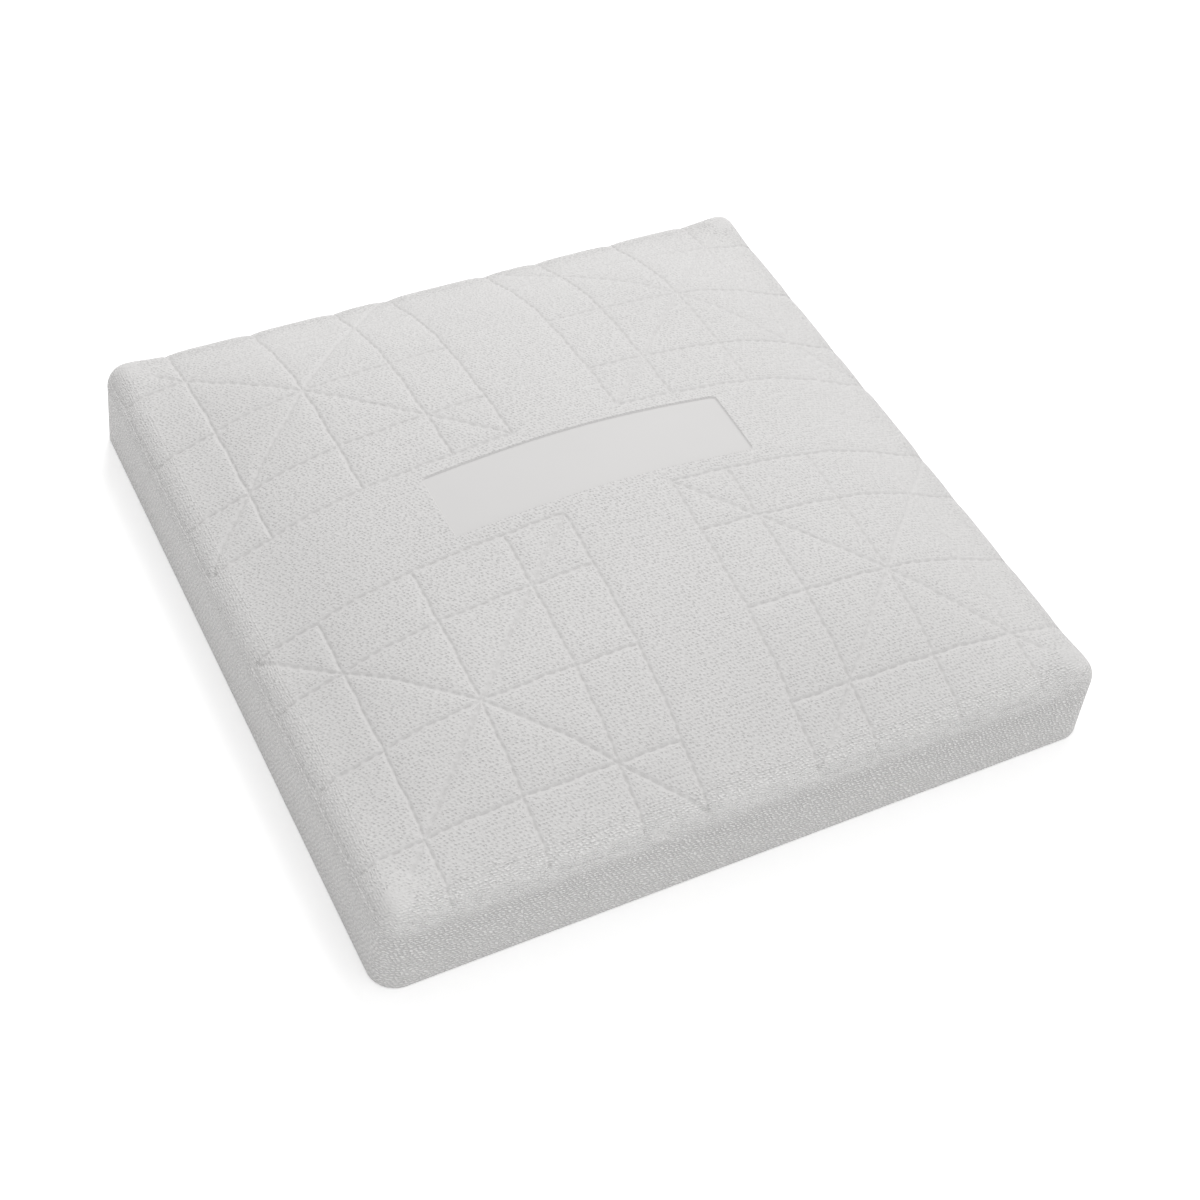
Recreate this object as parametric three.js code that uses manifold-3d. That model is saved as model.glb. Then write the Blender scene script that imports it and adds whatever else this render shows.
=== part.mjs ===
// Square field base: a crowned, quilted rubber cover drawn over a foam core, closed underneath by a
// board that carries a steel anchor plate with a square socket for a ground post.
// Millimetres, +Z up, the origin on the ground under the middle of the base.
import * as THREE from 'three';
import { mergeVertices } from 'three/addons/utils/BufferGeometryUtils.js';
import Module from 'manifold-3d';

const wasm = await Module();
wasm.setup();

// Outside of the cover
const SIDE = 381;
const SIDE_DRAFT = 1.5;
const EDGE_HEIGHT = 48;
const EDGE_RADIUS = 12;
const CROWN_RISE = 27.5;
const CROWN_RISE_POWER = 5.8;
const CROWN_RISE_FALL = 2.4;
const CROWN_SWELL = 12;
const CROWN_SWELL_POWER = 3;

// Quilting of the top
const BAND_WIDTH = 58;
const FRAME_WIDTH = 32;
const QUILT_MARGIN = 2;
const SEAM_HALF_WIDTH = 2.4;
const SEAM_DEPTH = 0.9;
const PAD_SWELL = 0.5;
const CORNER_BUMP = 2.4;
const CORNER_BUMP_RADIUS = 15;

// Recessed panel in the middle of the top
const PANEL_LENGTH = 163;
const PANEL_WIDTH = 41;
const PANEL_CORNER = 4;
const PANEL_DEPTH = 1;

// Inside of the cover and its turned-in lip
const SKIN = 9;
const LIP_THICKNESS = 10;
const LIP_WIDTH = 34;
const LIP_CORNER = 3;

// Board, core and anchor
const BOARD_THICKNESS = 12;
const PLATE_SIDE = 140;
const PLATE_CORNER = 8;
const PLATE_THICKNESS = 4;
const POST_SIDE = 25.4;
const POST_CLEARANCE = 0.8;
const TUBE_WALL = 3;
const TUBE_LENGTH = 56;
const CAP_THICKNESS = 3;

// Fasteners
const BOLT_SPACING = 104;
const BOLT_DIAMETER = 8;
const BOLT_HEAD_DIAMETER = 14;
const BOLT_HEAD_HEIGHT = 2.6;
const BOLT_HEX = 4;
const BOLT_PROUD = 1.4;
const WASHER_DIAMETER = 18;
const WASHER_THICKNESS = 1.4;
const NUT_FLANGE_DIAMETER = 21;
const NUT_FLANGE_THICKNESS = 1.5;
const NUT_BARREL_DIAMETER = 11;
const NUT_BARREL_LENGTH = 9;
const NUT_POCKET_DEPTH = 5;
const SCREW_PITCH = 190;
const SCREW_DIAMETER = 5;
const SCREW_LENGTH = 14;
const SCREW_HEAD_DIAMETER = 10;
const SCREW_HEAD_HEIGHT = 2.6;
const SCREW_HEX = 3;
const CUP_DIAMETER = 16;
const CUP_THICKNESS = 1.4;
const CUP_SINK = 5.4;
const HEAD_CHAMFER = 0.6;
const HEX_FLOOR = 0.9;
const SCREW_HOLE_FLOOR = 2;

// Clearances
const FIT = 0.3;
const HOLE_CLEARANCE = 0.4;
const POCKET_CLEARANCE = 0.5;
const OVERCUT = 1;

// Sizes that follow
const HALF = SIDE / 2;
const TOP_HALF = HALF - SIDE_DRAFT;
const BED_HALF = TOP_HALF - EDGE_RADIUS;
const BAND_HALF = BAND_WIDTH / 2;
const QUILT_REACH = TOP_HALF - QUILT_MARGIN;
const QUILT_MIDDLE = (BAND_HALF + QUILT_REACH) / 2;
const QUILT_LINES = [
  BAND_HALF,
  BAND_HALF + FRAME_WIDTH,
  QUILT_MIDDLE,
  QUILT_REACH - FRAME_WIDTH,
  BED_HALF,
];
const CAVITY_HALF = TOP_HALF - SKIN;
const CAVITY_RADIUS = Math.max(EDGE_RADIUS - SKIN, 1);
const BOARD_BOTTOM = LIP_THICKNESS + FIT;
const BOARD_TOP = BOARD_BOTTOM + BOARD_THICKNESS;
const CORE_BOTTOM = BOARD_TOP + FIT;
const PLATE_TOP = BOARD_BOTTOM - FIT;
const PLATE_BOTTOM = PLATE_TOP - PLATE_THICKNESS;
const SOCKET_SIDE = POST_SIDE + POST_CLEARANCE;
const TUBE_SIDE = SOCKET_SIDE + 2 * TUBE_WALL;
const TUBE_TOP = PLATE_BOTTOM + TUBE_LENGTH;
const CAP_BOTTOM = TUBE_TOP + FIT;
const CAP_TOP = CAP_BOTTOM + CAP_THICKNESS;
const WASHER_TOP = PLATE_BOTTOM - FIT;
const WASHER_BOTTOM = WASHER_TOP - WASHER_THICKNESS;
const BOLT_SEAT = WASHER_BOTTOM - FIT;
const NUT_TOP = CORE_BOTTOM + NUT_FLANGE_THICKNESS;
const CUP_TOP = CUP_SINK - FIT;
const CUP_BOTTOM = CUP_TOP - CUP_THICKNESS;
const SCREW_SEAT = CUP_BOTTOM - FIT;
const SCREW_LINE = (CAVITY_HALF + HALF - LIP_WIDTH) / 2;

// Height of the plain crown over the plan
function crown(x, y) {
  const u = Math.min(Math.abs(x) / HALF, 1);
  const v = Math.min(Math.abs(y) / HALF, 1);
  const edge = (1 - u ** CROWN_RISE_POWER) * (1 - v ** CROWN_RISE_POWER);
  const middle = Math.max(Math.cos((u * Math.PI) / 2) * Math.cos((v * Math.PI) / 2), 0);
  return EDGE_HEIGHT + CROWN_RISE * edge ** CROWN_RISE_FALL + CROWN_SWELL * middle ** CROWN_SWELL_POWER;
}

// Height of the finished top, with a low round bump over each corner
function finishedTop(x, y) {
  const away = Math.hypot(Math.abs(x) - BED_HALF, Math.abs(y) - BED_HALF) / CORNER_BUMP_RADIUS;
  const bump = away < 1 ? CORNER_BUMP * (1 - away ** 2) ** 2 : 0;
  return crown(x, y) + bump;
}

// Closed manifold body from a geometry, turned to face outwards
function solid(geometry) {
  const bare = geometry.clone();
  bare.deleteAttribute('normal');
  bare.deleteAttribute('uv');
  const merged = mergeVertices(bare, 1e-4);
  const position = merged.getAttribute('position');
  const index = merged.getIndex();
  const kept = [];
  let volume = 0;
  for (let i = 0; i < index.count; i += 3) {
    const corners = [index.getX(i), index.getX(i + 1), index.getX(i + 2)];
    if (new Set(corners).size === 3) {
      const [a, b, c] = corners.map((k) => new THREE.Vector3().fromBufferAttribute(position, k));
      volume += a.dot(b.cross(c));
      kept.push(corners);
    }
  }
  const triangles = kept.map(([a, b, c]) => (volume < 0 ? [a, c, b] : [a, b, c])).flat();
  const vertProperties = new Float32Array(position.array);
  const triVerts = new Uint32Array(triangles);
  return new wasm.Manifold(new wasm.Mesh({ numProp: 3, vertProperties, triVerts }));
}

// Geometry of a manifold body
function geometryOf(body) {
  const data = body.getMesh();
  const geometry = new THREE.BufferGeometry();
  geometry.setAttribute('position', new THREE.BufferAttribute(new Float32Array(data.vertProperties), 3));
  geometry.setIndex(new THREE.BufferAttribute(new Uint32Array(data.triVerts), 1));
  geometry.computeVertexNormals();
  return geometry;
}

// Geometry from a flat list of corner points, three to a triangle
function geometryFromPoints(points) {
  const geometry = new THREE.BufferGeometry();
  geometry.setAttribute('position', new THREE.Float32BufferAttribute(points.flat(), 3));
  return geometry;
}

// Upright prism on a rounded square or rectangle
function prism(width, depth, corner, bottom, top) {
  const x = width / 2;
  const y = depth / 2;
  const r = Math.min(corner, 0.49 * width, 0.49 * depth);
  const shape = new THREE.Shape();
  shape.moveTo(x - r, -y);
  shape.absarc(x - r, -y + r, r, -Math.PI / 2, 0);
  shape.absarc(x - r, y - r, r, 0, Math.PI / 2);
  shape.absarc(-x + r, y - r, r, Math.PI / 2, Math.PI);
  shape.absarc(-x + r, -y + r, r, Math.PI, 1.5 * Math.PI);
  const geometry = new THREE.ExtrudeGeometry(shape, {
    depth: top - bottom,
    bevelEnabled: false,
    curveSegments: 5,
  });
  geometry.translate(0, 0, bottom);
  return solid(geometry);
}

// Upright square bar with sharp corners
function bar(side, bottom, top) {
  const geometry = new THREE.BoxGeometry(side, side, top - bottom);
  geometry.translate(0, 0, (bottom + top) / 2);
  return solid(geometry);
}

// Upright round or polygonal bar
function rod(diameter, bottom, top, sides = 24) {
  const geometry = new THREE.CylinderGeometry(diameter / 2, diameter / 2, top - bottom, sides);
  geometry.rotateX(Math.PI / 2);
  geometry.translate(0, 0, (bottom + top) / 2);
  return solid(geometry);
}

// Body turned from a half profile of radius and height pairs
function turned(profile, sides = 24) {
  const points = profile.map(([r, z]) => new THREE.Vector2(r, z));
  const geometry = new THREE.LatheGeometry(points, sides);
  geometry.rotateX(Math.PI / 2);
  return solid(geometry);
}

// Points dividing a plan edge into short steps, the end left off
function steps(from, to, longest = 26) {
  const count = Math.max(1, Math.ceil(Math.hypot(to[0] - from[0], to[1] - from[1]) / longest - 0.01));
  const list = [];
  for (let i = 0; i < count; i += 1) {
    const t = i / count;
    list.push([from[0] + (to[0] - from[0]) * t, from[1] + (to[1] - from[1]) * t]);
  }
  return list;
}

// Where two plan edges meet once each is moved inwards by its own amount
function insetCorner(before, at, after, inBefore, inAfter) {
  const a = new THREE.Vector2(at[0] - before[0], at[1] - before[1]).normalize();
  const b = new THREE.Vector2(after[0] - at[0], after[1] - at[1]).normalize();
  const turn = a.x * b.y - a.y * b.x;
  const back = inAfter / turn;
  const onward = inBefore / turn;
  return [at[0] - a.x * back + b.x * onward, at[1] - a.y * back + b.y * onward];
}

// Triangles of one quilted pad: seam strips round a field that fans from its middle
function padTriangles(outline, swell) {
  const count = outline.length;
  const points = outline.map((side) => side.at);
  const reach = outline.map((side) => (side.seam ? SEAM_HALF_WIDTH : 0));
  const inner = points.map((at, k) => {
    const last = (k + count - 1) % count;
    return insetCorner(points[last], at, points[(k + 1) % count], reach[last], reach[k]);
  });
  const high = ([x, y], rise = 0) => [x, y, finishedTop(x, y) + rise];
  const low = ([x, y]) => [x, y, finishedTop(x, y) - SEAM_DEPTH];
  const middle = [0, 1].map((axis) => inner.reduce((sum, p) => sum + p[axis], 0) / count);
  const triangles = [];
  points.forEach((at, k) => {
    const next = (k + 1) % count;
    const divided = steps(at, points[next]).length;
    const field = [];
    const valley = [];
    for (let i = 0; i <= divided; i += 1) {
      const t = i / divided;
      field.push([0, 1].map((axis) => inner[k][axis] * (1 - t) + inner[next][axis] * t));
      valley.push([0, 1].map((axis) => at[axis] * (1 - t) + points[next][axis] * t));
    }
    for (let i = 0; i < divided; i += 1) {
      triangles.push(high(middle, swell), high(field[i]), high(field[i + 1]));
      if (outline[k].seam) {
        triangles.push(low(valley[i]), low(valley[i + 1]), high(field[i + 1]));
        triangles.push(low(valley[i]), high(field[i + 1]), high(field[i]));
      }
    }
  });
  return triangles;
}

// The plain square where the two bands cross, its four corners drawn down into the seams
function crossingTriangles() {
  const reach = BAND_HALF - SEAM_HALF_WIDTH;
  const triangles = [];
  const high = ([x, y]) => [x, y, finishedTop(x, y)];
  const turns = [0, 1, 2, 3];
  turns.forEach((turn) => {
    const rotate = ([x, y]) => {
      let p = [x, y];
      for (let i = 0; i < turn; i += 1) {
        p = [-p[1], p[0]];
      }
      return p;
    };
    const corner = rotate([BAND_HALF, -BAND_HALF]);
    const far = rotate([BAND_HALF, BAND_HALF]);
    const divided = steps(corner, far).length;
    const edge = [];
    for (let i = 0; i <= divided; i += 1) {
      edge.push(rotate([BAND_HALF, -reach + (2 * reach * i) / divided]));
    }
    const sunk = (p) => [p[0], p[1], finishedTop(p[0], p[1]) - SEAM_DEPTH];
    triangles.push(high([0, 0]), sunk(corner), high(edge[0]));
    edge.slice(1).forEach((p, i) => triangles.push(high([0, 0]), high(edge[i]), high(p)));
    triangles.push(high([0, 0]), high(edge[divided]), sunk(far));
  });
  return triangles;
}

// Plan outlines of the pads in one quarter of the top, with the seams marked
function quarterPads() {
  const g = QUILT_LINES;
  const last = g.length - 2;
  const end = 2 * QUILT_MIDDLE - BED_HALF;
  const pads = [];
  const add = (...sides) => pads.push(sides.map(([x, y, seam]) => ({ at: [x, y], seam })));
  for (let i = 0; i <= last; i += 1) {
    for (let j = 0; j <= last; j += 1) {
      const [x0, x1, y0, y1] = [g[i], g[i + 1], g[j], g[j + 1]];
      const right = i < last;
      const top = j < last;
      if (i === last && j === last) {
        add([x0, y0, true], [x1, y0, false], [x1, y1, false], [x0, y1, true]);
      } else if (i === j) {
        add([x0, y0, true], [x1, y0, right], [x1, y1, true]);
        add([x0, y0, true], [x1, y1, top], [x0, y1, true]);
      } else if (i === 0 && j === last) {
        add([x0, y0, true], [x1, y0, true], [end, y1, false], [x0, y1, true]);
        add([x1, y0, true], [x1, y1, false], [end, y1, true]);
      } else if (i === last && j === 0) {
        add([x0, y0, true], [x1, y0, false], [x1, end, true], [x0, y1, true]);
        add([x1, end, false], [x1, y1, true], [x0, y1, true]);
      } else if (i + j === last) {
        add([x0, y0, true], [x1, y0, true], [x0, y1, true]);
        add([x1, y0, true], [x1, y1, true], [x0, y1, true]);
      } else {
        add([x0, y0, true], [x1, y0, right], [x1, y1, top], [x0, y1, true]);
      }
    }
  }
  return pads;
}

// Plan outlines of one arm of the plain cross band
function armPads() {
  const pads = [];
  for (let j = 0; j + 1 < QUILT_LINES.length; j += 1) {
    const [y0, y1] = [QUILT_LINES[j], QUILT_LINES[j + 1]];
    pads.push([
      { at: [-BAND_HALF, y0], seam: false },
      { at: [BAND_HALF, y0], seam: true },
      { at: [BAND_HALF, y1], seam: false },
      { at: [-BAND_HALF, y1], seam: true },
    ]);
  }
  return pads;
}

// Quilted bed of the cover, as triangle corners
function quiltedBed() {
  const triangles = crossingTriangles();
  for (let turn = 0; turn < 4; turn += 1) {
    const rotate = ({ at, seam }) => {
      let [x, y] = at;
      for (let i = 0; i < turn; i += 1) {
        [x, y] = [-y, x];
      }
      return { at: [x, y], seam };
    };
    quarterPads().forEach((pad) => triangles.push(...padTriangles(pad.map(rotate), PAD_SWELL)));
    armPads().forEach((pad) => triangles.push(...padTriangles(pad.map(rotate), 0)));
  }
  return triangles;
}

// Plain crowned bed for the hollow, the core and the panel floor, lowered below the outer crown
function plainBed(half, drop) {
  const fractions = [0, 0.17, 0.34, 0.5, 0.63, 0.74, 0.83, 0.91, 1];
  const line = [...fractions.slice(1).reverse().map((f) => -f * half), ...fractions.map((f) => f * half)];
  const point = (i, j) => [line[i], line[j], crown(line[i], line[j]) - drop];
  const triangles = [];
  for (let i = 0; i + 1 < line.length; i += 1) {
    for (let j = 0; j + 1 < line.length; j += 1) {
      const [a, b, c, d] = [point(i, j), point(i + 1, j), point(i + 1, j + 1), point(i, j + 1)];
      if ((line[i] + line[i + 1]) * (line[j] + line[j + 1]) > 0) {
        triangles.push(a, b, d, b, c, d);
      } else {
        triangles.push(a, b, c, a, c, d);
      }
    }
  }
  return triangles;
}

// Closed block under a square bed: rounded shoulder and corners, drafted sides, flat underside
function crownedBlock(bed, half, radius, draft, bottom, surface) {
  const key = (p) => `${p[0].toFixed(4)},${p[1].toFixed(4)}`;
  const open = new Map();
  for (let i = 0; i < bed.length; i += 3) {
    for (let k = 0; k < 3; k += 1) {
      const from = bed[i + k];
      const to = bed[i + ((k + 1) % 3)];
      if (!open.delete(`${key(to)}|${key(from)}`)) {
        open.set(`${key(from)}|${key(to)}`, [from, to]);
      }
    }
  }
  const onward = new Map([...open.values()].map(([from, to]) => [key(from), [from, to]]));
  const rim = [];
  let here = [...onward.values()][0][0];
  for (let i = 0; i < onward.size; i += 1) {
    rim.push(here);
    here = onward.get(key(here))[1];
  }
  const spread = [];
  rim.forEach((p) => {
    const corner = Math.abs(p[0]) > half - 1e-3 && Math.abs(p[1]) > half - 1e-3;
    const flat = Math.abs(p[0]) > half - 1e-3 ? [Math.sign(p[0]), 0] : [0, Math.sign(p[1])];
    const middle = Math.atan2(p[1], p[0]);
    const angles = corner ? [-2, -1, 0, 1, 2].map((k) => middle + (k * Math.PI) / 8) : [];
    const ways = corner ? angles.map((a) => [Math.cos(a), Math.sin(a)]) : [flat];
    ways.forEach((way) => spread.push({ p, way }));
  });
  const bends = [1, 2, 3, 4].map((k) => (k * Math.PI) / 8);
  const rows = [spread.map(({ p }) => p)];
  bends.forEach((bend) => {
    rows.push(spread.map(({ p, way }) => {
      const x = p[0] + way[0] * radius * Math.sin(bend);
      const y = p[1] + way[1] * radius * Math.sin(bend);
      const sunk = (surface(p[0], p[1]) - p[2]) * Math.cos(bend);
      return [x, y, surface(x, y) - radius * (1 - Math.cos(bend)) - sunk];
    }));
  });
  const reach = radius + draft;
  rows.push(spread.map(({ p, way }) => [p[0] + way[0] * reach, p[1] + way[1] * reach, bottom]));
  const triangles = [...bed];
  const count = spread.length;
  for (let r = 0; r + 1 < rows.length; r += 1) {
    for (let i = 0; i < count; i += 1) {
      const k = (i + 1) % count;
      triangles.push(rows[r][i], rows[r + 1][i], rows[r + 1][k]);
      triangles.push(rows[r][i], rows[r + 1][k], rows[r][k]);
    }
  }
  const foot = rows[rows.length - 1];
  foot.forEach((p, i) => triangles.push([0, 0, bottom], foot[(i + 1) % count], p));
  return solid(geometryFromPoints(triangles));
}

// Crowned block with a plain top
function plainBlock(half, radius, drop, bottom) {
  const bed = half - radius;
  return crownedBlock(plainBed(bed, drop), bed, radius, 0, bottom, (x, y) => crown(x, y) - drop);
}

// Places of the four plate bolts and of the eight rim screws
const quarters = [[1, 1], [-1, 1], [-1, -1], [1, -1]];
const boltPlaces = quarters.map(([x, y]) => [(x * BOLT_SPACING) / 2, (y * BOLT_SPACING) / 2]);
const screwPlaces = [];
[[1, 0], [0, 1], [-1, 0], [0, -1]].forEach(([x, y]) => {
  [-1, 1].forEach((side) => {
    const along = (side * SCREW_PITCH) / 2;
    screwPlaces.push([x * SCREW_LINE - y * along, y * SCREW_LINE + x * along]);
  });
});

// Body cut by a tool at each of several places
function cutAt(body, tool, places) {
  return places.reduce((left, [x, y]) => left.subtract(tool.translate([x, y, 0])), body);
}

// Rubber cover: quilted outside, hollow inside, turned in to a lip below
function coverBody() {
  const outside = crownedBlock(quiltedBed(), BED_HALF, EDGE_RADIUS, SIDE_DRAFT, 0, finishedTop);
  const hollow = plainBlock(CAVITY_HALF, CAVITY_RADIUS, SKIN, LIP_THICKNESS);
  const mouthSide = SIDE - 2 * LIP_WIDTH;
  const mouth = prism(mouthSide, mouthSide, LIP_CORNER, -OVERCUT, LIP_THICKNESS + OVERCUT);
  const floor = plainBlock(CAVITY_HALF, CAVITY_RADIUS, PANEL_DEPTH, LIP_THICKNESS);
  const sky = EDGE_HEIGHT + CROWN_RISE + CROWN_SWELL + OVERCUT;
  const panel = prism(PANEL_LENGTH, PANEL_WIDTH, PANEL_CORNER, EDGE_HEIGHT, sky).subtract(floor);
  const shell = outside.subtract(hollow).subtract(mouth).subtract(panel);
  const cupHole = rod(CUP_DIAMETER + 2 * HOLE_CLEARANCE, -OVERCUT, CUP_SINK);
  const screwHole = rod(SCREW_DIAMETER + 2 * HOLE_CLEARANCE, 0, LIP_THICKNESS + OVERCUT, 16);
  return cutAt(cutAt(shell, cupHole, screwPlaces), screwHole, screwPlaces);
}

// Foam core: fills the hollow above the board, cut away round the socket and the nuts
function coreBody() {
  const block = plainBlock(CAVITY_HALF - FIT, CAVITY_RADIUS, SKIN + FIT, CORE_BOTTOM);
  const well = bar(TUBE_SIDE + 2 * POCKET_CLEARANCE, CORE_BOTTOM - OVERCUT, CAP_TOP + POCKET_CLEARANCE);
  const pocketDiameter = NUT_FLANGE_DIAMETER + 2 * POCKET_CLEARANCE;
  const pocket = rod(pocketDiameter, CORE_BOTTOM - OVERCUT, CORE_BOTTOM + NUT_POCKET_DEPTH);
  return cutAt(block.subtract(well), pocket, boltPlaces);
}

// Board that closes the hollow and takes every fastener
function boardBody() {
  const side = 2 * (CAVITY_HALF - FIT);
  const below = BOARD_BOTTOM - OVERCUT;
  const above = BOARD_TOP + OVERCUT;
  const blank = prism(side, side, CAVITY_RADIUS, BOARD_BOTTOM, BOARD_TOP);
  const square = bar(TUBE_SIDE + 2 * HOLE_CLEARANCE, below, above);
  const barrelHole = rod(NUT_BARREL_DIAMETER + 2 * HOLE_CLEARANCE, below, above);
  const screwHole = rod(SCREW_DIAMETER + 2 * HOLE_CLEARANCE, below, BOARD_TOP - SCREW_HOLE_FLOOR, 16);
  return cutAt(cutAt(blank.subtract(square), barrelHole, boltPlaces), screwHole, screwPlaces);
}

// Steel plate under the board
function plateBody() {
  const blank = prism(PLATE_SIDE, PLATE_SIDE, PLATE_CORNER, PLATE_BOTTOM, PLATE_TOP);
  const square = bar(TUBE_SIDE + 2 * FIT, PLATE_BOTTOM - OVERCUT, PLATE_TOP + OVERCUT);
  const boltHole = rod(BOLT_DIAMETER + 2 * HOLE_CLEARANCE, PLATE_BOTTOM - OVERCUT, PLATE_TOP + OVERCUT);
  return cutAt(blank.subtract(square), boltHole, boltPlaces);
}

// Square socket tube, open below, and the cap that closes its top
function tubeBody() {
  const socket = bar(SOCKET_SIDE, PLATE_BOTTOM - OVERCUT, TUBE_TOP + OVERCUT);
  return bar(TUBE_SIDE, PLATE_BOTTOM, TUBE_TOP).subtract(socket);
}

// Low-headed bolt with a hexagon socket
function boltBody(diameter, headDiameter, headHeight, hex, seat, end) {
  const r = diameter / 2;
  const head = headDiameter / 2;
  const foot = seat - headHeight;
  const whole = turned([
    [0, foot],
    [head - HEAD_CHAMFER, foot],
    [head, foot + HEAD_CHAMFER],
    [head, seat],
    [r, seat],
    [r, end - HEAD_CHAMFER],
    [r - HEAD_CHAMFER, end],
    [0, end],
  ]);
  return whole.subtract(rod((hex * 2) / Math.sqrt(3), foot - OVERCUT, seat - HEX_FLOOR, 6));
}

// Flat ring
function ringBody(outer, bore, bottom, top) {
  return rod(outer, bottom, top).subtract(rod(bore, bottom - OVERCUT, top + OVERCUT));
}

// Flanged nut: a thin flange on the board with a barrel down its hole
function nutBody() {
  const barrel = NUT_BARREL_DIAMETER / 2;
  const whole = turned([
    [0, CORE_BOTTOM - NUT_BARREL_LENGTH],
    [barrel, CORE_BOTTOM - NUT_BARREL_LENGTH],
    [barrel, CORE_BOTTOM],
    [NUT_FLANGE_DIAMETER / 2, CORE_BOTTOM],
    [NUT_FLANGE_DIAMETER / 2, NUT_TOP],
    [0, NUT_TOP],
  ]);
  const bore = BOLT_DIAMETER + 2 * FIT;
  return whole.subtract(rod(bore, CORE_BOTTOM - NUT_BARREL_LENGTH - OVERCUT, NUT_TOP + OVERCUT));
}

// Finishes
const rubber = { color: 0xdededb, roughness: 0.72, metalness: 0 };
const foam = { color: 0x6f7378, roughness: 0.95, metalness: 0 };
const board = { color: 0x2c2e30, roughness: 0.6, metalness: 0 };
const zinc = { color: 0xb4b8b8, roughness: 0.42, metalness: 1 };
const steel = { color: 0xa9adaf, roughness: 0.35, metalness: 1 };

// Named mesh of one piece
function piece(name, body, finish) {
  const mesh = new THREE.Mesh(geometryOf(body), new THREE.MeshStandardMaterial(finish));
  mesh.name = name;
  return mesh;
}

// Group with a name and its members
function assembly(name, ...members) {
  const group = new THREE.Group();
  group.name = name;
  group.add(...members);
  return group;
}

// Copies of one body at several places, numbered from one
function copies(name, body, places, finish) {
  return places.map(([x, y], i) => piece(`${name}_${i + 1}`, body.translate([x, y, 0]), finish));
}

const bolt = boltBody(
  BOLT_DIAMETER, BOLT_HEAD_DIAMETER, BOLT_HEAD_HEIGHT, BOLT_HEX, BOLT_SEAT, NUT_TOP + BOLT_PROUD,
);
const washer = ringBody(WASHER_DIAMETER, BOLT_DIAMETER + 2 * FIT, WASHER_BOTTOM, WASHER_TOP);
const screw = boltBody(
  SCREW_DIAMETER, SCREW_HEAD_DIAMETER, SCREW_HEAD_HEIGHT, SCREW_HEX, SCREW_SEAT, SCREW_SEAT + SCREW_LENGTH,
);
const cup = ringBody(CUP_DIAMETER, SCREW_DIAMETER + 2 * FIT, CUP_BOTTOM, CUP_TOP);

const body = assembly(
  'body',
  piece('cover', coverBody(), rubber),
  piece('foam_core', coreBody(), foam),
  piece('bottom_board', boardBody(), board),
);
const anchor = assembly(
  'anchor',
  piece('anchor_plate', plateBody(), zinc),
  piece('socket_tube', tubeBody(), zinc),
  piece('socket_cap', bar(TUBE_SIDE, CAP_BOTTOM, CAP_TOP), zinc),
);
const plateFasteners = assembly(
  'plate_fasteners',
  ...copies('plate_bolt', bolt, boltPlaces, steel),
  ...copies('plate_washer', washer, boltPlaces, steel),
  ...copies('flange_nut', nutBody(), boltPlaces, steel),
);
const rimFasteners = assembly(
  'rim_fasteners',
  ...copies('rim_screw', screw, screwPlaces, steel),
  ...copies('rim_washer', cup, screwPlaces, steel),
);

export default assembly('field_base', body, anchor, plateFasteners, rimFasteners);
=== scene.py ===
import logging
import math
from dataclasses import dataclass, field
from enum import Enum

import bpy
import numpy as np
from mathutils import Matrix, Vector
from mathutils.geometry import tessellate_polygon


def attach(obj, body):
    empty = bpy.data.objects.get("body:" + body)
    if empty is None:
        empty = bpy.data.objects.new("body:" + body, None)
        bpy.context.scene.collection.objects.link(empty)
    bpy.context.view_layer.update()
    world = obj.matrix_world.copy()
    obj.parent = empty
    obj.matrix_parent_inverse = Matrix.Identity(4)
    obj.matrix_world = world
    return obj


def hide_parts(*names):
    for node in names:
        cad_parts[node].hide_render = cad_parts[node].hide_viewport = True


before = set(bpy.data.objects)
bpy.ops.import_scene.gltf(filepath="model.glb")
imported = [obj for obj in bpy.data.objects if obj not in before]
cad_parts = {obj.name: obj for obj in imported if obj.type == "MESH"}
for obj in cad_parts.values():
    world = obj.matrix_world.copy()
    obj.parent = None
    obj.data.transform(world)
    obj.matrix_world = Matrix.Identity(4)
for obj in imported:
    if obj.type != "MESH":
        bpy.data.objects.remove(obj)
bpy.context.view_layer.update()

LOG = logging.getLogger("field_base")
ROOT_BODY = "root"
MM = 0.001
TINY = 1e-9
SHARP_ANGLE = math.radians(50)
# Blender's wave texture runs through this many radians for each unit of place times scale.
WAVE_TURNS = 20
GRAIN_UV = "grain"
# Point attribute with the strengths of pits and ribs, and a third value: painted shade along the sewn
# lines, darker colour in the panel's recess, and below 0 painted light on the front and back shoulders
# and sides.
GRAIN_AND_SHADE_MASK = "grain_and_shade_mask"
LIP_GRAIN = (0.25, 0.25, 0.0)


class Slot(Enum):
    """Material slots of the record for the scene's own pieces; this script doesn't use them."""

    RUBBER = "white_rubber"
    FOAM = "core_foam"
    PLATE = "galvanised_steel"


def linear(code: str) -> tuple[float, float, float, float]:
    """Turns an sRGB hex colour into linear values.

    Args:
        code: Colour written as six hex digits.

    Returns:
        Linear red, green, blue and full alpha.
    """
    parts = [int(code[i:i + 2], 16) / 255 for i in (0, 2, 4)]
    red, green, blue = (p / 12.92 if p <= 0.04045 else ((p + 0.055) / 1.055) ** 2.4 for p in parts)
    return red, green, blue, 1.0


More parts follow.
